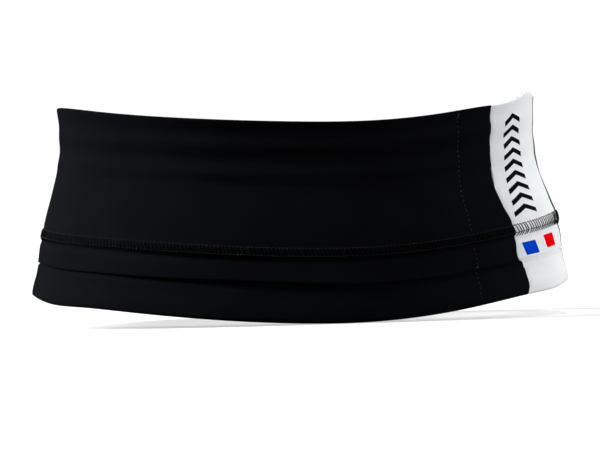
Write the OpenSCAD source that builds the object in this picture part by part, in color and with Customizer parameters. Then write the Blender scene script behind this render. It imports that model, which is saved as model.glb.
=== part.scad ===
// Pull-on stretch waist belt with pockets: a ring of knit panels, open at the top
// between the outer shell and the lining, sewn along a flatlock seam near the hem.
// The wearer's front faces -Y, +Z is up, and the belt stands on its hem at z = 0.

/* [Ring] */
// Height of the belt from hem fold to top edge, mm
belt_h = 120; // [100:1:150]
// Half width of the ring at the waist, its narrowest place, mm
waist_half = 148.5; // [135:0.5:165]
// Half width of the ring over the hip, mm
hip_half = 164; // [150:0.5:180]
// Extra half width at the very hem, mm
hem_flare = 4.5; // [0:0.5:6]
// Ring depth as a share of its width
depth_ratio = 0.57; // [0.5:0.01:0.75]
// Exponent of the ring's superellipse, 2 for an ellipse
roundness = 2.3; // [2:0.05:2.8]

/* [Edge curves] */
// Rise of the top edge from front and back to the sides, mm
top_rise = 13.7; // [0:0.1:20]
// Rise of the hem from front and back to the sides, mm
hem_rise = 18.7; // [0:0.1:25]
// Dip of the edges on the wearer's left front and right back, mm
skew_dip = 2; // [0:0.1:3]

/* [Fabric] */
// Thickness of one knit layer, mm
fabric_t = 0.8; // [0.6:0.1:1]
// Clearance between layers that lie on each other, mm
lay_gap = 0.2; // [0.15:0.05:0.3]
// Height of the flatlock seam's middle above the hem fold, mm
seam_s = 41; // [39:1:50]
// Height of the hem strip's free fold above the hem fold, mm
step_s = 22; // [20:0.5:26]
// Depth of the turning inside the shell's top edge, mm
turning = 15; // [10:1:20]

/* [Pockets] */
// How far the lining stands off the shell in the middle of a pocket, mm
pocket_depth = 9; // [5:0.5:12]

/* [Stitches] */
// Distance between stitches on a pocket divider, mm
stitch_pitch = 3; // [2.5:0.5:5]
// Diameter of the sewing thread, mm
thread_d = 0.5; // [0.4:0.1:0.6]
// Width of the flatlock seam over its threads, mm
flatlock_w = 6.4; // [5:0.2:8]

/* [Hidden] */

// Places around the ring, as angles from the front, positive towards the wearer's left
left_seam_t = -94;
panel_front_t = 50;
panel_rear_t = 85;
left_divider_t = -104;
front_divider_t = 38.5;
rear_divider_t = 104;
divider_places = [left_divider_t, front_divider_t, rear_divider_t];
ring_step = 5;

// Clearance of a thread or print from the fabric that it lies on
trim_gap = 0.15;
film_t = 0.2;

// Foot of the bartacks at the top edge
tack_foot_s = belt_h - 5;

// Where the shell's turning ends, and where the pockets are at their full depth
turn_s = belt_h - turning;
pocket_foot_s = seam_s + 1;
pocket_full_s = seam_s + 18;

function evenly(lo, hi, n) = [for (i = [0 : n]) lo + (hi - lo) * i / n];

// Heights that the facets of each layer share
shell_rows = concat(evenly(seam_s, turn_s, 8), evenly(turn_s + turning / 2, belt_h, 1));
strip_rows = evenly(step_s + 4, seam_s - 0.01, 2);
band_rows = [0.8, 4, 8, 12.7, 17.3, 22, 30, seam_s - 2];
lining_rows = concat(
    [fabric_t + lay_gap],
    evenly(8, seam_s, 3),
    evenly(seam_s + 4, pocket_full_s, 3),
    evenly(pocket_full_s + 9, turn_s - 5, 3),
    [turn_s - 1, turn_s + turning / 2, belt_h - 0.5]
);

black_knit = [0.07, 0.08, 0.1];
white_knit = [0.86, 0.87, 0.89];
black_thread = [0.15, 0.16, 0.17];
grey_thread = [0.6, 0.61, 0.62];

// ---- the surface that every layer follows ----

function ramp(lo, hi, v) = let (u = min(1, max(0, (v - lo) / (hi - lo)))) u * u * (3 - 2 * u);

// Half width of the ring's outer face at height s
function half_w(s) =
    let (u = s / belt_h)
    waist_half
    + (hip_half - waist_half) * (1 - ramp(0.21, 0.82, u))
    + hem_flare * pow(max(0, 1 - u / 0.21), 1.5)
    + pow(max(0, (u - 0.84) / 0.16), 2);

// The polar angle of a place around the ring
function polar(t) = atan2(sin(t), depth_ratio * cos(t));

// Radius of a superellipse with half axes a and b at polar angle p
function radius(p, a, b) =
    pow(pow(abs(sin(p)) / a, roundness) + pow(abs(cos(p)) / b, roundness), -1 / roundness);

// How far an edge at height s is raised at place t, with forward running from 1 at the
// front to -1 at the back
function lift(t, s) =
    let (
        p = polar(t),
        a = half_w(s),
        r = radius(p, a, a * depth_ratio),
        forward = r * cos(p) / (a * depth_ratio),
        rise = top_rise + (hem_rise - top_rise) * pow(1 - s / belt_h, 2)
    )
    rise * (1 - pow(abs(forward), 2.5)) - skew_dip * sin(180 * r * sin(p) / a) * forward;

// The hem's lowest place, which stands on z = 0
hem_low = min([for (t = [-180 : ring_step : 180]) lift(t, 0)]);

// A point at place t and height s, d under the ring's outer face
function at(t, s, d) =
    let (p = polar(t), a = half_w(s), r = radius(p, a - d, a * depth_ratio - d))
    [r * sin(p), -r * cos(p), s + lift(t, s) - hem_low];

// The places from t0 to t1 where the facets of all layers meet
function places(t0, t1) =
    concat(
        [t0],
        [for (k = [floor(t0 / ring_step) + 1 : ceil(t1 / ring_step) - 1]) k * ring_step],
        [t1]
    );

// ---- solids that follow the surface ----

function outline_points(ts, outline) = [for (t = ts) for (q = outline(t)) at(t, q[0], q[1])];

// Two triangles for each side of an n-sided outline, from place i to place k
function side_faces(i, k, n) =
    [
        for (j = [0 : n - 1])
            let (a = i * n + j, b = i * n + (j + 1) % n, c = k * n + j, e = k * n + (j + 1) % n)
            each [[a, c, b], [b, c, e]]
    ];

// Triangles across an n-sided outline, between its first half and its second
function end_faces(n) =
    [
        for (j = [0 : ceil(n / 2) - 2])
            let (a = j, b = j + 1, c = n - 2 - j, e = n - 1 - j)
            each (b == c ? [[a, b, e]] : [[a, b, e], [b, c, e]])
    ];

// A closed outline of [s, d] points, given for each place, carried along the ring. It runs
// up one face and down the other.
module wrap(ts, outline) {
    n = len(outline(ts[0]));
    last = len(ts) - 1;
    polyhedron(
        outline_points(ts, outline),
        concat(
            [for (i = [0 : last - 1]) each side_faces(i, i + 1, n)],
            end_faces(n),
            [for (f = end_faces(n)) [last * n + f[2], last * n + f[1], last * n + f[0]]]
        ),
        convexity = 10
    );
}

// The same, closed on itself all the way round
module wrap_ring(outline) {
    ts = [for (t = [0 : ring_step : 359]) t];
    n = len(outline(0));
    polyhedron(
        outline_points(ts, outline),
        [for (i = [0 : len(ts) - 1]) each side_faces(i, (i + 1) % len(ts), n)],
        convexity = 10
    );
}

// An outline between an outer and an inner face, each a depth for every height
function layer(rows, outer, inner) =
    concat(
        [for (s = rows) [s, outer(s)]],
        [for (i = [len(rows) - 1 : -1 : 0]) [rows[i], inner(rows[i])]]
    );

// A flat-sided outline from height s0 to s1 and depth d0 to d1
function bar(s0, s1, d0, d1) = [[s0, d0], [s0, d1], [s1, d1], [s1, d0]];

// ---- depths of the layers ----

// The lower band lies behind the hem strip and comes forward under it
band_behind = 2 * fabric_t + lay_gap;
function band_outer(s) = band_behind * ramp(8, 20, s);

// How far a pocket is open at place t, 0 at its dividers and 1 in its middle
function between(t, t0, t1) = t <= t0 || t >= t1 ? 0 : 1 - pow(2 * (t - t0) / (t1 - t0) - 1, 4);
function pocket_open(t) =
    pocket_depth * (
        between(t, left_divider_t, front_divider_t)
        + between(t, front_divider_t, rear_divider_t)
        + between(t < 0 ? t + 360 : t, rear_divider_t, left_divider_t + 360)
    );

// Depth of the lining's outer face, which rests on the band below and the shell above
lining_low = band_behind + fabric_t + lay_gap;
function lining_outer(t, s) =
    let (
        by_shell = fabric_t + lay_gap + fabric_t * ramp(turn_s - 5, turn_s - 1, s),
        rest = lining_low + (by_shell - lining_low) * ramp(seam_s, seam_s + 10, s)
    )
    rest + pocket_open(t) * ramp(pocket_foot_s, pocket_full_s, s);
function lining_inner(t, s) = lining_outer(t, s) + fabric_t;

// ---- fabric ----

// The shell is doubled where its top edge is turned in
module shell(t0, t1) {
    top_rows = [for (s = shell_rows) if (s > turn_s + 1) s];
    face_rows = [for (s = shell_rows) if (s < turn_s - 1) s];
    outline = concat(
        [for (s = shell_rows) [s, 0]],
        [for (i = [len(top_rows) - 1 : -1 : 0]) [top_rows[i], 2 * fabric_t]],
        [[turn_s, 2 * fabric_t], [turn_s - 0.4, fabric_t]],
        [for (i = [len(face_rows) - 1 : -1 : 0]) [face_rows[i], fabric_t]]
    );
    wrap(places(t0, t1), function(t) outline);
}

// A doubled strip from the flatlock seam down to a free fold
module hem_strip(t0, t1) {
    n = len(strip_rows);
    outline = concat(
        [[step_s, 0.6 * fabric_t], [step_s + 0.5, 0.15]],
        [for (s = strip_rows) [s, 0]],
        [for (i = [n - 1 : -1 : 0]) [strip_rows[i], 2 * fabric_t]],
        [[step_s + 0.5, 2 * fabric_t - 0.15], [step_s, 1.4 * fabric_t]]
    );
    wrap(places(t0, t1), function(t) outline);
}

// The band from behind the strip down to the hem fold, where it turns in to the lining
module lower_band(t0, t1) {
    foot = lining_low + fabric_t;
    n = len(band_rows);
    outline = concat(
        [[0, foot - 0.4], [0, 0.4]],
        [for (s = band_rows) [s, band_outer(s)]],
        [for (i = [n - 1 : -1 : 1]) [band_rows[i], band_outer(band_rows[i]) + fabric_t]],
        [[fabric_t, fabric_t + 0.4], [fabric_t, foot]]
    );
    wrap(places(t0, t1), function(t) outline);
}

module lining(t0, t1)
    wrap(places(t0, t1), function(t)
        layer(lining_rows, function(s) lining_outer(t, s), function(s) lining_inner(t, s)));

module front_shell() color(black_knit) shell(left_seam_t, panel_front_t);
module side_shell() color(white_knit) shell(panel_front_t, panel_rear_t);
module back_shell() color(black_knit) shell(panel_rear_t, left_seam_t + 360);
module front_hem_strip() color(black_knit) hem_strip(left_seam_t, panel_front_t);
module side_hem_strip() color(white_knit) hem_strip(panel_front_t, panel_rear_t);
module back_hem_strip() color(black_knit) hem_strip(panel_rear_t, left_seam_t + 360);
module front_lower_band() color(black_knit) lower_band(left_seam_t, panel_front_t);
module side_lower_band() color(white_knit) lower_band(panel_front_t, panel_rear_t);
module back_lower_band() color(black_knit) lower_band(panel_rear_t, left_seam_t + 360);
module front_lining() color(black_knit) lining(left_divider_t, front_divider_t);
module side_lining() color(black_knit) lining(front_divider_t, rear_divider_t);
module back_lining() color(black_knit) lining(rear_divider_t, left_divider_t + 360);

// ---- threads ----

// Two rows of needle thread along the edges of the flatlock seam
module flatlock_needle_threads()
    color(black_thread)
    for (side = [-1, 1]) {
        s = seam_s + side * (flatlock_w - thread_d) / 2;
        wrap_ring(function(t)
            bar(s - thread_d / 2, s + thread_d / 2, -trim_gap, -trim_gap - thread_d));
    }

// The looper thread that crosses the seam between them, as one ladder-like layer
module flatlock_cover_thread() {
    half = flatlock_w / 2 - thread_d - 0.1;
    color(black_thread)
    wrap_ring(function(t) bar(seam_s - half, seam_s + half, -trim_gap, -trim_gap - film_t));
}

// A straight length of thread from point a to point b
module thread_between(a, b) {
    v = b - a;
    reach = norm(v);
    translate(a)
    rotate([0, acos(v[2] / reach), atan2(v[1], v[0])])
    cylinder(h = reach, d = thread_d, $fn = 16);
}

// A row of stitches up the outside, broken where it crosses the flatlock seam and the step
module divider_stitches(t) {
    stitch = 0.72 * stitch_pitch;
    out = trim_gap + thread_d / 2;
    for (s = [4 : stitch_pitch : tack_foot_s - stitch_pitch]) {
        middle = s + stitch / 2;
        sunk = middle < step_s ? band_outer(middle) : 0;
        off_seam = abs(middle - seam_s) > flatlock_w / 2 + 1.5;
        off_step = abs(middle - step_s) > 2;
        if (off_seam && off_step) thread_between(at(t, s, sunk - out), at(t, s + stitch, sunk - out));
    }
}

module front_divider_stitches() color(grey_thread) divider_stitches(front_divider_t);
module rear_divider_stitches() color(grey_thread) divider_stitches(rear_divider_t);
module left_divider_stitches() color(grey_thread) divider_stitches(left_divider_t);

// A block of close stitches at the top of each divider, where two pocket mouths end
module pocket_bartacks()
    color(grey_thread)
    for (place = divider_places)
        wrap([place - 0.5, place + 0.5], function(t)
            bar(tack_foot_s, belt_h - 1, -trim_gap, -trim_gap - thread_d));

// Threads that join the lining's panels along the dividers, on the body side
module lining_seam_threads()
    color(black_thread)
    for (place = divider_places)
        wrap([place - 1, place, place + 1], function(t)
            layer(
                [for (s = lining_rows) if (s > 5 && s < belt_h - 2) s],
                function(s) lining_inner(t, s) + trim_gap,
                function(s) lining_inner(t, s) + trim_gap + thread_d
            ));

// ---- seam allowances inside the pockets ----

module allowance(t) {
    rows = [for (s = shell_rows) if (s >= pocket_full_s - 3 && s < turn_s - 1) s];
    wrap([t - 1.6, t, t + 1.6], function(u)
        layer(rows, function(s) fabric_t + lay_gap, function(s) 2 * fabric_t + 2 * lay_gap));
}

module front_panel_seam() color(black_knit) allowance(panel_front_t);
module rear_panel_seam() color(black_knit) allowance(panel_rear_t);
module left_side_seam() color(black_knit) allowance(left_seam_t);

// ---- transfer prints and label ----

// A print on the hem strip of the side panel
module block(t0, t1) {
    s0 = step_s + 2;
    s1 = min(step_s + 10, seam_s - flatlock_w / 2 - 1);
    wrap([for (k = [0 : 3]) t0 + (t1 - t0) * k / 3], function(t)
        bar(s0, s1, -trim_gap, -trim_gap - film_t));
}

module blue_block() color([0, 0.27, 0.76]) block(52.7, 58.7);
module red_block() color([0.92, 0.01, 0.05]) block(63.3, 70);

// Chevrons stacked up the side panel, each a little narrower than the one below it
module chevron_motif() {
    count = 9;
    foot = seam_s + 8;
    arm = 3;
    peak = 4;
    pitch = (belt_h - 8 - foot - arm - peak) / (count - 1);
    color([0.1, 0.11, 0.13])
    for (k = [0 : count - 1]) {
        middle = 57.5 + 0.25 * k;
        half = 5.2 - 0.15 * k;
        wrap([middle - half, middle, middle + half], function(t)
            let (s = foot + pitch * k + peak * (1 - abs(t - middle) / half))
            bar(s, s + arm, -trim_gap, -trim_gap - film_t));
    }
}

// A blank label sewn to the front lining beside its left join
module care_label()
    color("white")
    wrap([-91, -88, -85, -82], function(t)
        layer(
            evenly(pocket_full_s + 2, pocket_full_s + 34, 6),
            function(s) lining_inner(t, s) + 2 * trim_gap,
            function(s) lining_inner(t, s) + 2 * trim_gap + 2 * film_t
        ));

front_shell();
side_shell();
back_shell();
front_hem_strip();
side_hem_strip();
back_hem_strip();
front_lower_band();
side_lower_band();
back_lower_band();
front_lining();
side_lining();
back_lining();
flatlock_needle_threads();
flatlock_cover_thread();
front_divider_stitches();
rear_divider_stitches();
left_divider_stitches();
pocket_bartacks();
front_panel_seam();
rear_panel_seam();
left_side_seam();
lining_seam_threads();
blue_block();
red_block();
chevron_motif();
care_label();
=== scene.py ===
"""Looks of a pull-on knit waist belt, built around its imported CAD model.

Lengths are in millimetres, as in the CAD, until a mesh is made, which turns them into
metres. A place on the belt is t, the angle round the ring from the front towards the
wearer's left, s, the height above the hem fold, and d, the depth under the outer face.
"""

import math

import bpy
import numpy as np
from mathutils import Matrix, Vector


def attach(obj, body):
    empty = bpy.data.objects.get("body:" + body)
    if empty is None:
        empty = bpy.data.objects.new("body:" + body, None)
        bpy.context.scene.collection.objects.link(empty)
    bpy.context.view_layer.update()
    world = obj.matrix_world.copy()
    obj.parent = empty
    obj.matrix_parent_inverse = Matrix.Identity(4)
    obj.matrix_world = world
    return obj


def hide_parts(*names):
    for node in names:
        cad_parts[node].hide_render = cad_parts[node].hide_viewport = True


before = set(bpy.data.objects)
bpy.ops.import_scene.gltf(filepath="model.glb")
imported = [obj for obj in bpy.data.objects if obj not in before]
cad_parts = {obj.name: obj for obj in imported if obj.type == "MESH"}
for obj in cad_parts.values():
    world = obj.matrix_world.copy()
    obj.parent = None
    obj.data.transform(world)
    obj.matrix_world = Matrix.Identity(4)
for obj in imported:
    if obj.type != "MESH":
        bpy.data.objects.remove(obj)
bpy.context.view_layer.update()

# ---- driving sizes, the same as the CAD model's ----

BELT_H = 120.0  # height from hem fold to top edge
WAIST_HALF = 148.5  # half width of the ring at the waist
HIP_HALF = 164.0  # half width of the ring over the hip
HEM_FLARE = 4.5  # extra half width at the very hem
DEPTH_RATIO = 0.57  # ring depth as a share of its width
ROUNDNESS = 2.3  # exponent of the ring's superellipse, 2 for an ellipse
TOP_RISE = 13.7  # rise of the top edge from front and back to the sides
HEM_RISE = 18.7  # rise of the hem from front and back to the sides
SKEW_DIP = 2.0  # dip of the edges on the wearer's left front and right back
FABRIC_T = 0.8  # thickness of one knit layer
LAY_GAP = 0.2  # clearance between layers that lie on each other
SEAM_S = 41.0  # height of the flatlock seam's middle
STEP_S = 22.0  # height of the hem strip's free fold
TURNING = 15.0  # depth of the turning inside the shell's top edge
POCKET_DEPTH = 9.0  # how far the lining stands off in the middle of a pocket
STITCH_PITCH = 3.0  # distance between stitches on a pocket divider
FLATLOCK_W = 6.4  # width of the flatlock seam over its threads

# places round the ring, in degrees
LEFT_SEAM = -94.0
FRONT_SEAM = 50.0
REAR_SEAM = 85.0
LEFT_DIVIDER = -104.0
FRONT_DIVIDER = 38.5
REAR_DIVIDER = 104.0
DIVIDERS = (LEFT_DIVIDER, FRONT_DIVIDER, REAR_DIVIDER)

TURN_S = BELT_H - TURNING  # where the shell's turning ends
FOOT_S = SEAM_S + 1  # where the pockets start to open
FULL_S = SEAM_S + 18  # where the pockets are at their full depth
BAND_BEHIND = 2 * FABRIC_T + LAY_GAP  # depth of the lower band behind the hem strip
LINING_LOW = BAND_BEHIND + FABRIC_T + LAY_GAP  # depth of the lining behind that band

# ---- sizes that only the looks have ----

COLUMN_STEP = 0.5  # degrees round the ring between mesh columns
ROW_STEP = 1.4  # mm between mesh rows
ARC_PER_DEGREE = 2.3  # mm round the ring for each degree, roughly
NEEDLE_PITCH = 2.3  # mm between stitches of the flatlock seam
SEAM_TOP = SEAM_S + 3.2  # upper needle row
SEAM_LOW = SEAM_S - 1.4  # lower needle row
SEAM_FOOT = SEAM_S - 3.7  # ends of the cover thread's loops
CREASE_S = 104.4  # height of the highest level fold
CREASE_PITCH = 16.3  # mm from one level fold to the next
HEM_ROUND = 2.0  # height of the rounded hem, mm
MOUTH_HEM = 9  # depth of the hem along a pocket mouth, mm
WALE, COURSE = 0.62, 0.5  # width and height of a knit stitch, mm
LABEL_T0, LABEL_T1 = -91, -82  # places of the care label's two sides
LABEL_S0 = FULL_S + 2  # height of the care label's lower edge
LABEL_H = 32  # length of the care label, mm

# thicknesses of the threads, mm
NEEDLE_D = 0.5
COVER_D = 0.52
DIVIDER_D = 0.42
BARTACK_D = 0.36
LINING_D = 0.4
OVERLOCK_D = 0.3
LABEL_D = 0.35

rng = np.random.default_rng(7)


# ---- the surface that every layer follows ----

def ramp(lo, hi, v):
    """0 below lo and 1 above hi, with a smooth step between; lo may be the larger."""
    u = np.clip((np.asarray(v, float) - lo) / (hi - lo), 0, 1)
    return u * u * (3 - 2 * u)


def hill(v, middle, width):
    """A smooth hill of height 1."""
    return np.exp(-(((np.asarray(v, float) - middle) / width) ** 2))


def facing(t):
    """How far a place faces the wearer's left and right side, each from 0 to 1."""
    across = np.sin(np.radians(t))
    return np.clip(across, 0, 1) ** 2, np.clip(-across, 0, 1) ** 2


def half_w(s):
    """Half width of the ring's outer face at height s."""
    u = s / BELT_H
    return (
        WAIST_HALF
        + (HIP_HALF - WAIST_HALF) * (1 - ramp(0.21, 0.82, u))
        + HEM_FLARE * np.maximum(0, 1 - u / 0.21) ** 1.5
        + np.maximum(0, (u - 0.84) / 0.16) ** 2
    )


def polar(t):
    """The polar angle of place t, seen from above."""
    t = np.radians(t)
    return np.arctan2(np.sin(t), DEPTH_RATIO * np.cos(t))


def radius(p, a, b):
    """Radius of a superellipse with half axes a and b at polar angle p."""
    across, along = np.abs(np.sin(p)) / a, np.abs(np.cos(p)) / b
    return (across**ROUNDNESS + along**ROUNDNESS) ** (-1 / ROUNDNESS)


def lift(t, s):
    """How far an edge at height s is raised at place t."""
    p, a = polar(t), half_w(s)
    r = radius(p, a, a * DEPTH_RATIO)
    forward = r * np.cos(p) / (a * DEPTH_RATIO)
    rise = TOP_RISE + (HEM_RISE - TOP_RISE) * (1 - s / BELT_H) ** 2
    dip = SKEW_DIP * np.sin(np.pi * r * np.sin(p) / a) * forward
    return rise * (1 - np.abs(forward) ** 2.5) - dip


HEM_LOW = float(lift(np.arange(-180.0, 181.0, 5.0), 0.0).min())


def wrapped(t):
    """The same place as an angle from -180 to 180."""
    return (np.asarray(t, float) + 180) % 360 - 180


def settle(t, s):
    """How the worn edges have settled: up at the corners of the top, down at the hem's."""
    t = wrapped(t)
    up, down = s / BELT_H, 1 - s / BELT_H
    left_corner = 3.3 * hill(t, 72, 8) + 4.5 * hill(t, 101, 10) - 0.9 * hill(t, 54, 6)
    right_corner = 1.7 * hill(t, -70, 26)
    belly = hill(t, 3, 24) + hill(t, 180, 24) + hill(t, -180, 24)
    feet = hill(t, 64, 11) + 1.25 * hill(t, -61, 12)
    seam = (0.3 + 2.1 * ramp(52, 84, t)) * ramp(46, 53, t) * ramp(120, 100, t) * hill(s, SEAM_S + 2, 6)
    fold = (0.3 + 1.5 * hill(t, -8, 20)) * hill(s, STEP_S, 6)
    hem = (1.1 * belly + 1.9 * feet * down) * down**2
    return 1.1 + (left_corner + right_corner) * up**4 - hem + seam + fold


def sway(t, s):
    """Slow unevenness of the worn ring's width, the same for every layer."""
    to_left, to_right = facing(t)
    pinch = 1.1 * to_left * hill(s, 70, 15) + 1.0 * to_right * hill(s, 42, 17)
    wide = 0.25 * np.sin(np.radians(5 * t + 0.6 * s)) + 0.15 * np.sin(np.radians(9 * t - 1.1 * s + 70))
    return wide * ramp(2, 30, s) - pinch + 0.8 * hill(s, 7, 6)


def at(t, s, d):
    """The point at place t and height s, d under the ring's outer face."""
    t, s, d = np.broadcast_arrays(np.asarray(t, float), np.asarray(s, float), np.asarray(d, float))
    p, a = polar(t), half_w(s) + sway(t, s)
    r = radius(p, a - d, a * DEPTH_RATIO - d)
    z = s + lift(t, s) - HEM_LOW + settle(t, s)
    return np.stack([r * np.sin(p), -r * np.cos(p), z], axis=-1)


def places_every(pitch, s):
    """Places that are pitch apart all round the ring at height s, closing evenly."""
    fine = np.linspace(-180.0, 180.0, 4001)
    steps = np.linalg.norm(np.diff(at(fine, s, 0.0), axis=0), axis=1)
    run = np.concatenate([[0], np.cumsum(steps)])
    count = max(1, round(run[-1] / pitch))
    return np.interp(np.arange(count + 1) * run[-1] / count, run, fine)


# ---- where the panels end, and how deep their faces lie ----

def left_seam(s):
    """The join of the black front and the black back, at the wearer's right."""
    return LEFT_SEAM + 0 * s


def front_seam(s):
    """The join of the black front and the white side panel, which wanders a little."""
    by_fold = np.where(s < STEP_S, 1.0 * hill(s, 20.5, 3), -1.1 * hill(s, 26, 5))
    low = 0.9 * ramp(58, 46, s) + 0.8 * ramp(34, 25, s) + 1.3 * ramp(20, 15, s) - 0.9 * ramp(6, 0, s)
    high = 1.4 * hill(s, 72, 15) + 0.6 * hill(s, 91, 8)
    return FRONT_SEAM - high + low + by_fold


def rear_seam(s):
    """The join of the white side panel and the black back."""
    return REAR_SEAM - 4.0 - 2.6 * hill(s, 82, 17) - 2.2 * hill(s, 48, 14) + 2.2 * ramp(30, 12, s)


def left_seam_again(s):
    """The left seam once round the ring, where the back panel ends."""
    return left_seam(s) + 360


def divider_line(place, s):
    """A divider's place at height s; the stitched line drifts a little towards the top."""
    return place + 0.8 * ramp(66, 104, s)


def stitch_pull(t, s):
    """Dimples that the divider stitches pull into the fabric, as a positive depth."""
    beat = 0.65 + 0.35 * np.cos(2 * np.pi * (s - 5) / STITCH_PITCH)
    pull = 0
    for place in DIVIDERS:
        gap = ARC_PER_DEGREE * wrapped(t - divider_line(place, s))
        pull = pull + 0.3 * beat * hill(gap, 0, 1.0) + 0.12 * hill(gap, 0, 5)
    return pull


def seam_groove(t, s):
    """The crease where two panels are joined."""
    groove = 0
    for edge in (left_seam, front_seam, rear_seam):
        groove = groove + 0.3 * hill(ARC_PER_DEGREE * wrapped(t - edge(s)), 0, 0.8)
    return groove


def flatlock_pull(t, s):
    """The flatlock seam stands up between its needle rows and sinks in below them."""
    bulge = 0.35 * ramp(SEAM_TOP + 0.4, SEAM_TOP - 0.8, s) * ramp(SEAM_FOOT, SEAM_LOW + 0.2, s)
    above = 0.2 * hill(s, SEAM_TOP + 1, 0.8)
    below = 0.55 * hill(s, SEAM_FOOT - 0.8, 1.7)
    pucker = 0.1 * np.sin(np.radians(61 * t)) * np.sin(np.radians(13 * t + 40))
    return above + below - bulge + pucker * hill(s, SEAM_S, 7)


def shell_crease(t, s):
    """Level folds below the top edge, left from putting the belt on and folding it away."""
    wrinkle = np.cos(2 * np.pi * (s - CREASE_S - 0.03 * wrapped(t)) / CREASE_PITCH)
    reach = ramp(76, 87, s) * (0.4 + 0.6 * hill(wrapped(t), 4, 48))
    soft = 0.14 * np.sin(np.radians(23 * t + 9 * s)) * hill(s, 66, 16)
    return soft - 0.5 * (0.9 + wrinkle) * reach


def shell_face(t, s):
    """The shell's outer face, drawn in a little along its top edge."""
    edge = 0.12 * ramp(BELT_H - 1.5, BELT_H, s)
    return stitch_pull(t, s) + seam_groove(t, s) + flatlock_pull(t, s) + shell_crease(t, s) + edge


def strip_face(t, s):
    """The hem strip's outer face, which curls off a little at its free fold."""
    ahead = hill(wrapped(t), 8, 42)
    curl = (0.3 + 1.0 * ahead) * np.clip((STEP_S + 14 - s) / 13, 0, 1) ** 1.8
    uneven = 0.85 + 0.15 * np.sin(np.radians(7 * t + 20))
    return 0.7 * stitch_pull(t, s) + seam_groove(t, s) + flatlock_pull(t, s) - curl * uneven


def band_face(t, s):
    """The lower band's outer face, behind the hem strip and forward under it."""
    wave = 0.12 * np.sin(np.radians(17 * t + 12 * s)) * hill(s, 12, 8)
    held = BAND_BEHIND * ramp(20.2 - 5 * hill(wrapped(t), 0, 32), 21.9, s)
    return held + (0.8 * stitch_pull(t, s) + seam_groove(t, s) + wave) * ramp(0, 4, s)


def between(t, t0, t1):
    """1 midway from t0 to t1, and 0 at both and past them."""
    v = 2 * (t - t0) / (t1 - t0) - 1
    return np.where(np.abs(v) < 1, 1 - v**4, 0.0)


def pocket_open(t):
    """How far the lining stands off the shell at a pocket mouth."""
    t = (t - LEFT_DIVIDER) % 360 + LEFT_DIVIDER
    front = between(t, LEFT_DIVIDER, FRONT_DIVIDER)
    side = between(t, FRONT_DIVIDER, REAR_DIVIDER)
    back = between(t, REAR_DIVIDER, LEFT_DIVIDER + 360)
    return POCKET_DEPTH * (front + side + back)


def lining_face(t, s):
    """The side of the lining that faces the shell."""
    by_shell = FABRIC_T + LAY_GAP + FABRIC_T * ramp(TURN_S - 5, TURN_S - 1, s)
    rest = LINING_LOW + (by_shell - LINING_LOW) * ramp(SEAM_S, SEAM_S + 10, s)
    opened = pocket_open(t) * ramp(FOOT_S, FULL_S, s)
    slack = 0.07 * opened * np.sin(np.radians(11 * t + 60)) * ramp(60, 118, s)
    return rest + opened + slack + 0.2


# ---- meshes ----

def add_object(name, points, faces, material, corners_uv, node=None, hard_angle=50):
    """A mesh piece from points in mm, riding on the belt."""
    mesh = bpy.data.meshes.new(name)
    mesh.from_pydata((np.asarray(points).reshape(-1, 3) / 1000).tolist(), [], faces)
    layer = mesh.uv_layers.new(name="cloth")
    layer.data.foreach_set("uv", np.asarray(corners_uv, np.float32).ravel())
    mesh.materials.append(material)
    mesh.shade_smooth()
    mesh.set_sharp_from_angle(angle=math.radians(hard_angle))
    mesh.validate()
    piece = bpy.data.objects.new(name, mesh)
    bpy.context.scene.collection.objects.link(piece)
    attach(piece, "root")
    if node:
        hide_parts(node)
    return piece


def net_faces(columns, rows):
    """Quads between closed outlines of points, and the column and row of each corner."""
    i, j = (g.ravel() for g in np.meshgrid(np.arange(columns - 1), np.arange(rows), indexing="ij"))
    corners = np.stack([(i, j), (i + 1, j), (i + 1, j + 1), (i, j + 1)])
    ids = corners[:, 0] * rows + corners[:, 1] % rows
    return ids.T, corners.transpose(2, 0, 1)


def running(points):
    """Distance along a line of points, in metres, from 0."""
    steps = np.linalg.norm(np.diff(points, axis=0), axis=1) / 1000
    return np.concatenate([[0], np.cumsum(steps)])


def cap_faces(columns, rows):
    """The two end faces of a swept outline, as rows of quads across its thickness."""
    pairs = []
    for j in range(rows // 2 - 1):
        near = (j, j + 1, rows - 2 - j, rows - 1 - j)
        pairs.append(tuple(reversed(near)))
        pairs.append(tuple((columns - 1) * rows + k for k in near))
    return pairs


def even_rows(lo, hi, step=ROW_STEP):
    """Heights from lo to hi, about a step apart."""
    return np.linspace(lo, hi, max(2, round(abs(hi - lo) / step) + 1))


def sweep(name, edges, runs, material, node=None, shift=None):
    """A closed outline carried along the ring between two edges, as one piece of fabric.

    edges are two functions of the height. Each run of the outline is its heights and a
    function of place and height that gives the depths. shift moves the heights in the end.
    """
    heights = np.concatenate([rows for rows, _ in runs])
    lo, hi = edges
    columns = round((hi(60.0) - lo(60.0)) / COLUMN_STEP) + 1
    share = np.linspace(0, 1, columns)[:, None]
    t = lo(heights) + share * (hi(heights) - lo(heights))
    depths, start = [], 0
    for rows, depth in runs:
        part = t[:, start:start + len(rows)]
        depths.append(np.broadcast_to(depth(part, rows), part.shape))
        start += len(rows)
    moved = heights + (shift(t, heights) if shift else 0)
    points = at(t, moved, np.concatenate(depths, axis=1))
    count = len(heights)
    faces, corners = net_faces(columns, count)
    u = running(points[:, 0])
    v = running(np.concatenate([points[columns // 2], points[columns // 2, :1]]))
    uv = np.stack([u[corners[..., 0]], v[corners[..., 1]]], axis=-1).reshape(-1, 2)
    caps = cap_faces(columns, count)
    cap_uv = np.zeros((4 * len(caps), 2))
    all_faces = faces.tolist() + [list(c) for c in caps]
    return add_object(name, points, all_faces, material, np.concatenate([uv, cap_uv]), node)


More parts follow.
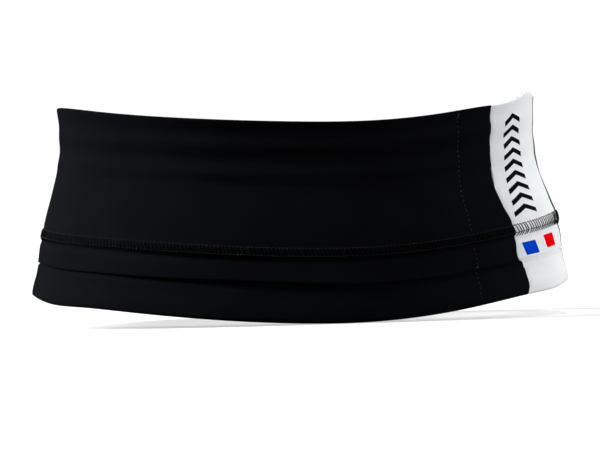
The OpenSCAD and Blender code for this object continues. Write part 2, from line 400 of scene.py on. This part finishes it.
def fold(s_edge, up, face, thickness, steps=6):
    """A run that rounds a fold of the given thickness, ending on the inner face."""
    angle = np.linspace(0, math.pi, steps + 2)[1:-1]
    r = thickness / 2
    rows = s_edge - up * r * (1 - np.sin(angle))
    off = r * (1 - np.cos(angle))
    return rows, lambda t, s: face(t, np.full_like(s, s_edge - up * r)) + off


def tubes(name, paths, normals, thickness, material, node=None, taper=None, sides=6):
    """Threads as tubes along paths of equally many points, with the normals they lie on."""
    paths, normals = np.asarray(paths), np.asarray(normals)
    count, length, _ = paths.shape
    along = np.gradient(paths, axis=1)
    along /= np.linalg.norm(along, axis=-1, keepdims=True)
    side = np.cross(along, normals)
    side /= np.linalg.norm(side, axis=-1, keepdims=True)
    out = np.cross(side, along)
    angle = np.arange(sides) * 2 * np.pi / sides
    scale = np.ones(length) if taper is None else np.asarray(taper)
    ring = (
        np.cos(angle)[:, None] * side[:, :, None, :] + np.sin(angle)[:, None] * out[:, :, None, :]
    ) * (thickness / 2 * scale)[None, :, None, None]
    points = paths[:, :, None, :] + ring
    faces, corners = net_faces(length, sides)
    ends = [list(range(sides))[::-1], [(length - 1) * sides + k for k in range(sides)]]
    offsets = np.arange(count)[:, None, None] * length * sides
    quads = (faces[None] + offsets).reshape(-1, 4).tolist()
    caps = [[k + i * length * sides for k in end] for i in range(count) for end in ends]
    span = np.linalg.norm(paths[0, -1] - paths[0, 0]) / 1000
    uv = np.stack([corners[..., 0] / (length - 1) * span, corners[..., 1] / sides], axis=-1)
    uv = np.tile(uv.reshape(-1, 2), (count, 1))
    cap_uv = np.zeros((sides * len(caps), 2))
    return add_object(name, points, quads + caps, material, np.concatenate([uv, cap_uv]), node, 80)


def outward(t, s):
    """Unit vectors out of the ring's face."""
    v = at(t, s, -1.0) - at(t, s, 0.0)
    return v / np.linalg.norm(v, axis=-1, keepdims=True)


# ---- materials ----

class Shader:
    """A material with short calls for its nodes."""

    def __init__(self, name):
        self.material = bpy.data.materials.new(name)
        self.material.use_nodes = True
        self.tree = self.material.node_tree
        self.bsdf = next(n for n in self.tree.nodes if n.type == "BSDF_PRINCIPLED")

    def node(self, kind, **settings):
        """A new node with the given settings."""
        made = self.tree.nodes.new(kind)
        for key, value in settings.items():
            setattr(made, key, value)
        return made

    def link(self, source, socket):
        """A link from an output to an input."""
        self.tree.links.new(source, socket)

    def math(self, operation, a, b=None, c=None):
        """The output of a Math node; a, b and c are numbers or outputs."""
        made = self.node("ShaderNodeMath", operation=operation)
        for socket, value in zip(made.inputs, (a, b, c)):
            if value is None:
                continue
            if isinstance(value, (int, float)):
                socket.default_value = value
            else:
                self.link(value, socket)
        return made.outputs[0]

    def cloth_mm(self):
        """Distance round the ring and up the fabric, in millimetres."""
        coords = self.node("ShaderNodeUVMap", uv_map="cloth")
        split = self.node("ShaderNodeSeparateXYZ")
        self.link(coords.outputs[0], split.inputs[0])
        x = self.math("MULTIPLY", split.outputs[0], 1000.0)
        y = self.math("MULTIPLY", split.outputs[1], 1000.0)
        return x, y

    def noise(self, scale, detail=3.0):
        """Noise over the belt itself, scale in features per metre."""
        place = self.node("ShaderNodeTexCoord")
        made = self.node("ShaderNodeTexNoise")
        made.inputs["Scale"].default_value = scale
        made.inputs["Detail"].default_value = detail
        self.link(place.outputs["Object"], made.inputs["Vector"])
        return made.outputs["Fac"]

    def colours(self, factor, low, high, lo=0.0, hi=1.0):
        """Colour that goes from low to high as the factor goes from lo to hi."""
        made = self.node("ShaderNodeValToRGB")
        start, end = made.color_ramp.elements
        start.color, end.color = (*low, 1.0), (*high, 1.0)
        self.link(self.ranged(factor, lo, hi, 0.0, 1.0), made.inputs["Fac"])
        return made.outputs["Color"]

    def ranged(self, value, lo, hi, out_lo, out_hi):
        """A value taken from one range to another, and held at its ends."""
        made = self.node("ShaderNodeMapRange", clamp=True)
        self.link(value, made.inputs["Value"])
        for key, number in (("From Min", lo), ("From Max", hi), ("To Min", out_lo), ("To Max", out_hi)):
            made.inputs[key].default_value = number
        return made.outputs["Result"]

    def bump(self, height, distance_mm, strength=1.0):
        """Relief on the surface, distance_mm deep."""
        made = self.node("ShaderNodeBump")
        made.inputs["Distance"].default_value = distance_mm / 1000
        made.inputs["Strength"].default_value = strength
        self.link(height, made.inputs["Height"])
        self.link(made.outputs[0], self.bsdf.inputs["Normal"])

    def set(self, **values):
        """Constants on the shader's own sockets."""
        for key, value in values.items():
            self.bsdf.inputs[key.replace("_", " ")].default_value = value


def knit_stitches(shader, wale, course):
    """Height of a knit face: columns of V-shaped stitches, wale apart and course high."""
    x, y = shader.cloth_mm()
    place = shader.math("FRACT", shader.math("DIVIDE", x, wale))
    leg = shader.math("ABSOLUTE", shader.math("SUBTRACT", place, 0.5))
    row = shader.math("ADD", shader.math("DIVIDE", y, course), shader.math("MULTIPLY", leg, 1.6))
    beat = shader.math("SINE", shader.math("MULTIPLY", row, 2 * math.pi))
    column = shader.math("SINE", shader.math("MULTIPLY", leg, 2 * math.pi))
    return shader.math("MULTIPLY", column, shader.math("MULTIPLY_ADD", beat, 0.3, 0.7))


def knit(name, dark, light, rough, sheen, tint, specular, wale=WALE, course=COURSE, depth=0.09):
    """A fine knit: V stitches whose valleys are painted darker as painted shade, slow tone changes and a
    sheen of the given weight and roughness.
    """
    shader = Shader(name)
    stitches = knit_stitches(shader, wale, course)
    slow = shader.noise(38, 4)
    fuzz = shader.noise(2600, 2)
    # The base colour rises with the stitches' height, so the valleys between the loops are darker: painted
    # shade. The slow noise and the fuzz add random tone.
    tone_and_shade = shader.math("ADD", shader.math("MULTIPLY", stitches, 0.35), shader.math("MULTIPLY", slow, 0.8))
    tone_and_shade = shader.math("MULTIPLY_ADD", fuzz, 0.35, tone_and_shade)
    shader.link(shader.colours(tone_and_shade, dark, light, 0.25, 1.15), shader.bsdf.inputs["Base Color"])
    shader.link(shader.ranged(fuzz, 0.3, 0.7, rough - 0.08, rough + 0.08), shader.bsdf.inputs["Roughness"])
    height = shader.math("ADD", stitches, shader.math("MULTIPLY", fuzz, 0.5))
    shader.bump(height, depth)
    weight, spread = sheen
    shader.set(
        Sheen_Weight=weight, Sheen_Roughness=spread, Sheen_Tint=(*tint, 1.0),
        Specular_IOR_Level=specular,
    )
    return shader.material


def thread(name, dark, light, rough, specular):
    """Twisted sewing thread, its colour darker in the grooves of the twist: painted shade."""
    shader = Shader(name)
    x, y = shader.cloth_mm()
    turn = shader.math("MULTIPLY_ADD", x, 1 / 0.45, shader.math("DIVIDE", y, 500.0))
    twist = shader.math("SINE", shader.math("MULTIPLY", turn, 2 * math.pi))
    # The colour follows the twist's relief, darker in its grooves: painted shade.
    shader.link(shader.colours(twist, dark, light, -1.0, 1.0), shader.bsdf.inputs["Base Color"])
    patchy = shader.ranged(shader.noise(900), 0.3, 0.7, rough - 0.1, rough + 0.1)
    shader.link(patchy, shader.bsdf.inputs["Roughness"])
    shader.bump(twist, 0.05)
    shader.set(Specular_IOR_Level=specular)
    return shader.material


def film(name, dark, light):
    """Heat transfer film, which takes a little of the knit's face."""
    shader = Shader(name)
    stitches = knit_stitches(shader, WALE, COURSE)
    patchy = shader.noise(160)
    shader.link(shader.colours(patchy, dark, light, 0.25, 0.75), shader.bsdf.inputs["Base Color"])
    shader.link(shader.ranged(patchy, 0.3, 0.7, 0.42, 0.58), shader.bsdf.inputs["Roughness"])
    shader.bump(stitches, 0.04, 0.6)
    shader.set(Specular_IOR_Level=0.0)
    return shader.material


def satin(name):
    """Woven satin label tape, with fine ribs across it, painted darker between the ribs as painted shade.
    """
    shader = Shader(name)
    x, y = shader.cloth_mm()
    ribs = shader.math("SINE", shader.math("MULTIPLY", y, 2 * math.pi / 0.35))
    warp = shader.math("SINE", shader.math("MULTIPLY", x, 2 * math.pi / 0.25))
    weave = shader.math("MULTIPLY_ADD", warp, 0.4, ribs)
    # The colour follows the weave's relief, darker between the ribs: painted shade. The noise adds random
    # tone.
    tone_and_shade = shader.math("MULTIPLY_ADD", shader.noise(120), 1.5, weave)
    colour = shader.colours(tone_and_shade, (0.66, 0.66, 0.64), (0.8, 0.8, 0.78), -1.0, 2.2)
    shader.link(colour, shader.bsdf.inputs["Base Color"])
    shader.link(shader.ranged(weave, -1.4, 1.4, 0.3, 0.42), shader.bsdf.inputs["Roughness"])
    shader.bump(weave, 0.04)
    shader.set(Sheen_Weight=0.3, Sheen_Roughness=0.3)
    return shader.material


def paper(name, colour, glow):
    """Plain seamless paper with a faint grain, which also glows."""
    shader = Shader(name)
    grain = shader.noise(300, 2)
    lighter = tuple(c * 1.02 for c in colour)
    shader.link(shader.colours(grain, colour, lighter, 0.3, 0.7), shader.bsdf.inputs["Base Color"])
    shader.set(
        Roughness=0.9, Specular_IOR_Level=0.0,
        Emission_Color=(1.0, 1.0, 1.0, 1.0), Emission_Strength=glow,
    )
    return shader.material


BLACK_KNIT = knit(
    "black knit", (0.0019, 0.0023, 0.0032), (0.0041, 0.0048, 0.0068), 0.72,
    sheen=(0.0102, 0.2), tint=(0.85, 0.9, 1.0), specular=0.01,
)
WHITE_KNIT = knit(
    "white knit", (0.81, 0.825, 0.84), (0.9, 0.915, 0.93), 0.82,
    sheen=(0.03, 0.5), tint=(1.0, 1.0, 1.0), specular=0.1,
)
# A darker copy of the white knit for the white shell's turning and inner face, where the lamps light it
# strongly: painted shade.
WHITE_KNIT_SHADED = knit(
    "white knit shaded", (0.27, 0.275, 0.285), (0.33, 0.335, 0.345), 0.85,
    sheen=(0.02, 0.5), tint=(1.0, 1.0, 1.0), specular=0.05, wale=0.9, course=0.75, depth=0.12,
)
LINING_KNIT = knit(
    "lining knit", (0.003, 0.003, 0.0036), (0.009, 0.0095, 0.011), 0.85,
    sheen=(0.06, 0.5), tint=(0.8, 0.85, 1.0), specular=0.08, wale=0.9, course=0.75, depth=0.14,
)
BLACK_THREAD = thread("black thread", (0.0012, 0.0014, 0.0018), (0.0045, 0.005, 0.006), 0.4, 0.16)
MATT_THREAD = thread("matt black thread", (0.001, 0.0012, 0.0016), (0.0038, 0.0044, 0.0054), 0.6, 0.03)
GREY_THREAD = thread("grey thread", (0.02, 0.022, 0.026), (0.05, 0.053, 0.058), 0.55, 0.1)
WHITE_THREAD = thread("white thread", (0.6, 0.6, 0.6), (0.8, 0.8, 0.8), 0.5, 0.4)
BLUE_FILM = film("blue film", (0.0, 0.042, 0.50), (0.0, 0.058, 0.62))
RED_FILM = film("red film", (0.74, 0.0, 0.002), (0.86, 0.0, 0.004))
DARK_FILM = film("dark film", (0.003, 0.0038, 0.0065), (0.006, 0.0075, 0.0125))
SATIN = satin("label satin")


# ---- fabric ----

PANELS = (
    ("front", left_seam, front_seam, BLACK_KNIT, "black_knit"),
    ("side", front_seam, rear_seam, WHITE_KNIT, "white_knit"),
    ("back", rear_seam, left_seam_again, BLACK_KNIT, "black_knit"),
)


def thick(face, thickness):
    """The depth of a second face, thickness under another."""
    return lambda t, s: face(t, s) + thickness


def flat_inner(depth):
    """A second face that the relief of the first one doesn't reach."""
    return lambda t, s: np.full(np.shape(t), depth)


def paint_inner_shade(shell, turned_in, rows, material):
    """Give a shell another material from the row turned_in on, over its turning and inner face; the white
    shell gets a darker copy of its knit there, as painted shade.
    """
    shell.data.materials.append(material)
    end_faces = 2 * (rows // 2 - 1)
    for face in shell.data.polygons[:-end_faces]:
        face.material_index = int(face.index % rows >= turned_in)


def make_shell(name, lo, hi, material, slot):
    """The outer panel, turned in at its top edge."""
    top = BELT_H - FABRIC_T
    turned = even_rows(top, TURN_S, 2)
    back = even_rows(TURN_S - 0.5, SEAM_S, 2.5)
    runs = [
        (even_rows(SEAM_S, top), shell_face),
        fold(BELT_H, 1, shell_face, 2 * FABRIC_T),
        (turned, flat_inner(2 * FABRIC_T)),
        (back, flat_inner(FABRIC_T)),
    ]
    shell = sweep(name + "_shell_fabric", (lo, hi), runs, material, name + "_shell")
    # The white shell's turning and inner face get the darker copy of the white knit: painted shade.
    if material is WHITE_KNIT:
        counts = [len(heights) for heights, _ in runs]
        paint_inner_shade(shell, sum(counts[:2]), sum(counts), WHITE_KNIT_SHADED)


def strip_back(t, s):
    """The inner face of the hem strip, which curls with the outer one."""
    return 2 * FABRIC_T + np.minimum(strip_face(t, s), 0) * ramp(34, 26, s)


def strip_middle(t, s):
    """Where the two layers of the hem strip meet."""
    return (strip_face(t, s) + strip_back(t, s)) / 2


def make_strip(name, lo, hi, material, slot):
    """The hem strip, one cut piece folded in half with its fold at the free lower edge."""
    low = STEP_S + FABRIC_T
    slit = 0.01  # half the gap between the two layers
    rows = even_rows(SEAM_S - 2 * slit, low)
    apart = np.linspace(slit, -slit, 6)
    runs = [
        (rows, strip_face),
        fold(STEP_S, -1, strip_face, 2 * FABRIC_T),
        (rows[::-1], strip_back),
        (rows, thick(strip_middle, slit)),
        (np.full(6, low), lambda t, s: strip_middle(t, s) + apart),
        (rows[::-1], thick(strip_middle, -slit)),
    ]
    strip = sweep(name + "_hem_strip_fabric", (lo, hi), runs, material, name + "_hem_strip")


def make_band(name, lo, hi, material, slot):
    """The lower band, turned in under the hem to meet the lining."""
    foot = LINING_LOW + FABRIC_T
    outer = even_rows(SEAM_S - 2, HEM_ROUND)
    angle = np.linspace(0, math.pi, 9)[1:-1]
    under = (HEM_ROUND * (1 - np.sin(angle)), lambda t, s: band_face(t, s) + foot / 2 * (1 - np.cos(angle)))
    tongue = (np.array([1.7, 1.7]), lambda t, s: np.array([foot, LINING_LOW]) + 0 * t)
    angle_in = np.linspace(math.pi, 0, 7)[1:-1]
    inside = (
        FABRIC_T + 1.2 * (1 - np.sin(angle_in)),
        lambda t, s: FABRIC_T + (foot - FABRIC_T * 2) / 2 * (1 - np.cos(angle_in)) + 0 * t,
    )
    inner = (
        even_rows(HEM_ROUND, SEAM_S - 2, 2.5),
        lambda t, s: BAND_BEHIND * ramp(15, 21, s) + FABRIC_T + 0 * t,
    )
    runs = [(outer, band_face), under, tongue, inside, inner]
    band = sweep(name + "_lower_band_fabric", (lo, hi), runs, material, name + "_lower_band")


def mouth_sag(t, s):
    """The pocket mouths hang a little lower than the belt's edge, most at the wearer's left."""
    open_by = pocket_open(t) / POCKET_DEPTH
    sag = 1.3 + (1.8 + 2.5 * hill(wrapped(t), 76, 20) + 1.2 * hill(wrapped(t), 112, 10)) * open_by
    return -sag * ramp(BELT_H - 45, BELT_H, s)


def make_lining(name, t0, t1):
    """A lining panel between two dividers, hemmed along the pocket mouth."""
    foot, top, hem = HEM_ROUND, BELT_H - 0.4, BELT_H - MOUTH_HEM
    runs = [
        (even_rows(foot, top - FABRIC_T), lining_face),
        fold(top, 1, lining_face, 2 * FABRIC_T),
        (even_rows(top - FABRIC_T, hem, 2), thick(lining_face, 2 * FABRIC_T)),
        (even_rows(hem - 0.5, foot, 2), thick(lining_face, FABRIC_T)),
    ]
    edges = (lambda s: t0 + 0 * s, lambda s: t1 + 0 * s)
    lining = sweep(
        name + "_lining_fabric", edges, runs, LINING_KNIT, name + "_lining", mouth_sag,
    )


def make_allowance(name, edge):
    """The overlocked edges of two panels, pressed open inside a pocket."""

    def face(t, s):
        return FABRIC_T + 0.15 + 0.1 * np.sin(s * 1.3) + 0 * t

    rows = even_rows(FULL_S, TURN_S - 2)
    runs = [(rows, face), (rows[::-1], thick(face, FABRIC_T))]
    edges = (
        lambda s: edge(s) - 1.6 - 0.06 * np.sin(1.7 * s),
        lambda s: edge(s) + 1.6 + 0.06 * np.sin(2.1 * s),
    )
    return sweep(name + "_fabric", edges, runs, BLACK_KNIT, name)


for panel in PANELS:
    make_shell(*panel)
    make_strip(*panel)
    make_band(*panel)
make_lining("front", LEFT_DIVIDER, FRONT_DIVIDER)
make_lining("side", FRONT_DIVIDER, REAR_DIVIDER)
make_lining("back", REAR_DIVIDER, LEFT_DIVIDER + 360)
make_allowance("front_panel_seam", front_seam)
make_allowance("rear_panel_seam", rear_seam)
make_allowance("left_side_seam", left_seam)


# ---- threads ----

def outer_face(t, s):
    """Depth of whatever face shows on the outside at a height."""
    return np.where(s > SEAM_S, shell_face(t, s), np.where(s > STEP_S, strip_face(t, s), band_face(t, s)))


def laid_thread(t, s, proud):
    """Points and normals of thread that lies on the outside, proud of the face."""
    return at(t, s, outer_face(t, s) - proud), outward(t, s)


def needle_threads():
    """Two rows of short stitches that dip into the fabric at each end."""
    paths, normals = [], []
    reach = np.linspace(0.2, 0.8, 7)
    for s, proud in ((SEAM_TOP, 0.14), (SEAM_LOW, 0.42)):
        starts = places_every(NEEDLE_PITCH, s)
        t = starts[:-1, None] + np.diff(starts)[:, None] * reach
        wobble = rng.normal(0, 0.07, (len(t), 1))
        arch = np.sin(np.linspace(0, math.pi, 7))
        points, out = laid_thread(t, np.full_like(t, s) + wobble, proud * arch)
        paths.append(points)
        normals.append(out)
    return tubes(
        "needle_thread_stitches", np.concatenate(paths), np.concatenate(normals), NEEDLE_D,
        BLACK_THREAD, "flatlock_needle_threads", taper=(0.6, 0.9, 1, 1, 1, 0.9, 0.6),
    )


def cover_thread():
    """Looper thread that slants down across the seam and hooks back below its lower needle row."""
    starts = places_every(NEEDLE_PITCH, SEAM_S)[:-1, None]
    fall = np.linspace(0, 1, 11)
    start = SEAM_TOP + 0.5
    s = start - (start - SEAM_FOOT) * fall
    bend = (start - SEAM_LOW) / (start - SEAM_FOOT)
    lean = np.where(fall < bend, fall / bend, 1 - 0.9 * (fall - bend) / (1 - bend))
    loose = rng.normal(0, 0.06, starts.shape) + rng.normal(0, 0.06, starts.shape) * lean
    t = starts + 0.85 * lean + loose
    s = s + 0 * t
    points, out = laid_thread(t, s, 0.1 + 0.14 * np.sin(np.pi * fall))
    return tubes(
        "cover_thread_strands", points, out, COVER_D, MATT_THREAD, "flatlock_cover_thread",
    )


def divider_stitches(name, place):
    """A single row of short lockstitches through shell and lining."""
    starts = np.arange(4.0, BELT_H - 7, STITCH_PITCH)
    middle = starts + 0.36 * STITCH_PITCH
    clear = (np.abs(middle - SEAM_S) > FLATLOCK_W / 2 + 1.2) & (np.abs(middle - STEP_S) > 1.6)
    reach = np.linspace(0, 1, 6)
    s = middle[clear][:, None] + 0.42 * STITCH_PITCH * (reach - 0.5)
    t = divider_line(place, s) + rng.normal(0, 0.04, (len(s), 1))
    proud = np.where(s < SEAM_S, 0.16, 0.04) + 0.16 * np.sin(math.pi * reach)
    points, out = laid_thread(t, s, proud)
    return tubes(
        name + "_thread", points, out, DIVIDER_D, GREY_THREAD, name,
        taper=(0.6, 0.95, 1, 1, 0.95, 0.6), sides=8,
    )


def bartacks():
    """Small blocks of zigzag stitches where a pocket mouth ends and where the strip is caught."""
    paths, normals = [], []
    swing = np.linspace(-1, 1, 5)
    for place in DIVIDERS:
        for foot, height in ((BELT_H - 4.5, 2.7), (STEP_S + 1.2, 1.4)):
            for k in range(round(height / 0.45)):
                s = foot + 0.45 * k + 0.2 * swing * (-1) ** k
                t = divider_line(place, s) + 0.26 * swing
                points, out = laid_thread(t, s, 0.12 + 0.1 * (1 - swing**2))
                paths.append(points)
                normals.append(out)
    return tubes(
        "bartack_threads", paths, normals, BARTACK_D, GREY_THREAD, "pocket_bartacks",
    )


def lining_threads():
    """Flat zigzag seams over the lining's joins, on the body side."""
    paths, normals = [], []
    swing = np.linspace(-1, 1, 5)
    for place in DIVIDERS:
        for k in range(round((BELT_H - 10) / 1.1)):
            t = place + 0.75 * swing
            s = 6 + 1.1 * k + 0.5 * swing * (-1) ** k
            layers = 1 + ramp(BELT_H - MOUTH_HEM - 0.5, BELT_H - MOUTH_HEM, s)
            d = lining_face(t, s) + FABRIC_T * layers + 0.18
            paths.append(at(t, s, d))
            normals.append(outward(t, s))
    return tubes(
        "lining_seam_zigzag", paths, normals, LINING_D, BLACK_THREAD, "lining_seam_threads",
    )


def overlock_loops(name, edge):
    """Thread loops that bind the two edges of a pressed seam."""
    paths, normals = [], []
    reach = np.linspace(-1, 1, 5)
    for side in (-1, 1):
        for k in range(round((TURN_S - 4 - FULL_S) / 1.8)):
            s = FULL_S + 1 + 1.8 * k + 0.5 * reach
            t = edge(s) + side * (1.15 + 0.4 * reach)
            paths.append(at(t, s, 2 * FABRIC_T + 0.35))
            normals.append(outward(t, s))
    return tubes(name, paths, normals, OVERLOCK_D, BLACK_THREAD)


needle_threads()
cover_thread()
for node, place in (
    ("front_divider_stitches", FRONT_DIVIDER),
    ("rear_divider_stitches", REAR_DIVIDER),
    ("left_divider_stitches", LEFT_DIVIDER),
):
    divider_stitches(node, place)
bartacks()
lining_threads()
overlock_loops("front_seam_overlock", front_seam)
overlock_loops("rear_seam_overlock", rear_seam)
overlock_loops("left_seam_overlock", left_seam)


# ---- prints and label ----

def film_patch(t, s, thickness=0.09, gap=0.03):
    """A closed film over a net of places, as points for a closed outline per column."""
    face = outer_face(t, s)
    outer = at(t, s, face - gap - thickness)
    inner = at(t, s, face - gap)
    return np.concatenate([outer, inner[:, ::-1]], axis=1)


def add_films(name, patches, material, node):
    """Films that share one piece."""
    points, faces, uvs, start = [], [], [], 0
    for net in patches:
        columns, rows, _ = net.shape
        quads, corners = net_faces(columns, rows)
        u = running(net[:, 0])
        v = running(np.concatenate([net[0], net[0, :1]]))
        uvs.append(np.stack([u[corners[..., 0]], v[corners[..., 1]]], axis=-1).reshape(-1, 2))
        caps = cap_faces(columns, rows)
        uvs.append(np.zeros((4 * len(caps), 2)))
        faces += (quads + start).tolist() + [[k + start for k in cap] for cap in caps]
        points.append(net.reshape(-1, 3))
        start += columns * rows
    return add_object(name, np.concatenate(points), faces, material, np.concatenate(uvs), node)


def block(name, t0, t1, s0, s1, material, node):
    """A small oblong that slants with the pull of the fabric."""
    u, v = np.meshgrid(np.linspace(0, 1, 15), np.linspace(0, 1, 9), indexing="ij")
    t = t0 + (t1 - t0) * u + 1.4 * (1 - v)
    return add_films(name, [film_patch(t, s0 + (s1 - s0) * v)], material, node)


def chevrons():
    """Chevrons stacked up the side panel, each a little narrower than the one below it."""
    count, arm, peak, foot = 9, 3.0, 4.0, SEAM_S + 8
    pitch = (BELT_H - 8 - foot - arm - peak) / (count - 1)
    patches = []
    for k in range(count):
        middle, half = 57.5 + 0.25 * k, 5.2 - 0.15 * k
        v, w = np.meshgrid(np.linspace(-1, 1, 25), np.linspace(0, 1, 5), indexing="ij")
        t = middle + half * v
        s = foot + pitch * k + peak * (1 - np.abs(v)) + arm * w
        patches.append(film_patch(t, s))
    return add_films("chevron_film", patches, DARK_FILM, "chevron_motif")


def care_label():
    """A blank label sewn to the lining by its upper edge."""
    across = np.linspace(LABEL_T0, LABEL_T1, 15)
    t, s = np.meshgrid(across, np.linspace(LABEL_S0, LABEL_S0 + LABEL_H, 27), indexing="ij")
    curl = 1.3 * ramp(LABEL_S0 + 18, LABEL_S0, s) * (0.6 + 0.4 * np.cos(np.radians((t + 86) * 30)))
    deep = lining_face(t, s) + FABRIC_T
    near, far = at(t, s, deep + 0.25 + curl), at(t, s, deep + 0.75 + curl)
    net = np.concatenate([near, far[:, ::-1]], axis=1)
    tape = add_films("label_tape", [net], SATIN, "care_label")


def label_stitches():
    """A row of stitches across the label's upper end."""
    reach = np.linspace(0, 1, 4)
    starts = np.linspace(LABEL_T0 + 0.4, LABEL_T1 - 1, 7)[:, None]
    t = starts + 0.75 * reach
    s = np.full_like(t, LABEL_S0 + LABEL_H - 3)
    points = at(t, s, lining_face(t, s) + FABRIC_T + 0.85)
    return tubes("label_stitches", points, -outward(t, s), LABEL_D, WHITE_THREAD)


block("blue_film", 52.6, 58.3, STEP_S + 2.2, STEP_S + 10.7, BLUE_FILM, "blue_block")
block("red_film", 63.0, 69.3, STEP_S + 3.8, STEP_S + 12.2, RED_FILM, "red_block")
chevrons()
care_label()
label_stitches()


# ---- studio ----

def shown_only(thing):
    """Seen by the camera, but neither lighting the belt nor shading it."""
    thing.visible_diffuse = False
    thing.visible_glossy = False
    thing.visible_transmission = False


def make_floor():
    """A wide white floor that meets the backdrop."""
    bpy.ops.mesh.primitive_circle_add(vertices=96, radius=12, fill_type="NGON", location=(0, 0, -0.0003))
    floor = bpy.context.object
    floor.name = "studio_floor"
    floor.data.materials.append(paper("floor paper", (0.42, 0.42, 0.42), 0.55))
    shown_only(floor)


def make_backdrop():
    """A white dome all round, far behind the camera too."""
    bpy.ops.mesh.primitive_uv_sphere_add(segments=64, ring_count=32, radius=11.9)
    dome = bpy.context.object
    dome.name = "studio_backdrop"
    dome.data.materials.append(paper("backdrop paper", (0.02, 0.02, 0.02), 1.02))
    shown_only(dome)
    dome.visible_shadow = False


def make_sun(name, towards, strength, spread):
    """Soft light from one side; strength is what it adds to a white surface that faces it."""
    data = bpy.data.lights.new(name, "SUN")
    data.energy = math.pi * strength
    data.angle = math.radians(spread)
    light = bpy.data.objects.new(name, data)
    bpy.context.scene.collection.objects.link(light)
    light.rotation_euler = Vector(towards).to_track_quat("-Z", "Y").to_euler()


def make_world(strength):
    """Weak white light from all round."""
    world = bpy.data.worlds.new("studio")
    world.use_nodes = True
    sky = world.node_tree.nodes["Background"]
    sky.inputs["Color"].default_value = (1.0, 1.0, 1.0, 1.0)
    sky.inputs["Strength"].default_value = strength
    bpy.context.scene.world = world


def make_camera():
    """A long lens at the belt's own height, rolled slightly."""
    data = bpy.data.cameras.new("camera")
    data.lens = 171.6
    data.sensor_width = 36
    camera = bpy.data.objects.new("camera", data)
    bpy.context.scene.collection.objects.link(camera)
    camera.location = (0.0009, -1.8, 0.0595)
    camera.rotation_euler = (math.pi / 2, math.radians(1.7), 0)
    bpy.context.scene.camera = camera


make_floor()
make_backdrop()
make_world(0.02)
make_sun("left light", (1.0, -0.025, -0.45), 2.6, 20)
make_sun("right light", (-1.0, 0.1, -0.15), 1.06, 20)
make_sun("top light", (0.0, 0.15, -1.0), 0.45, 12)
make_camera()
bpy.context.scene.view_settings.view_transform = "Standard"
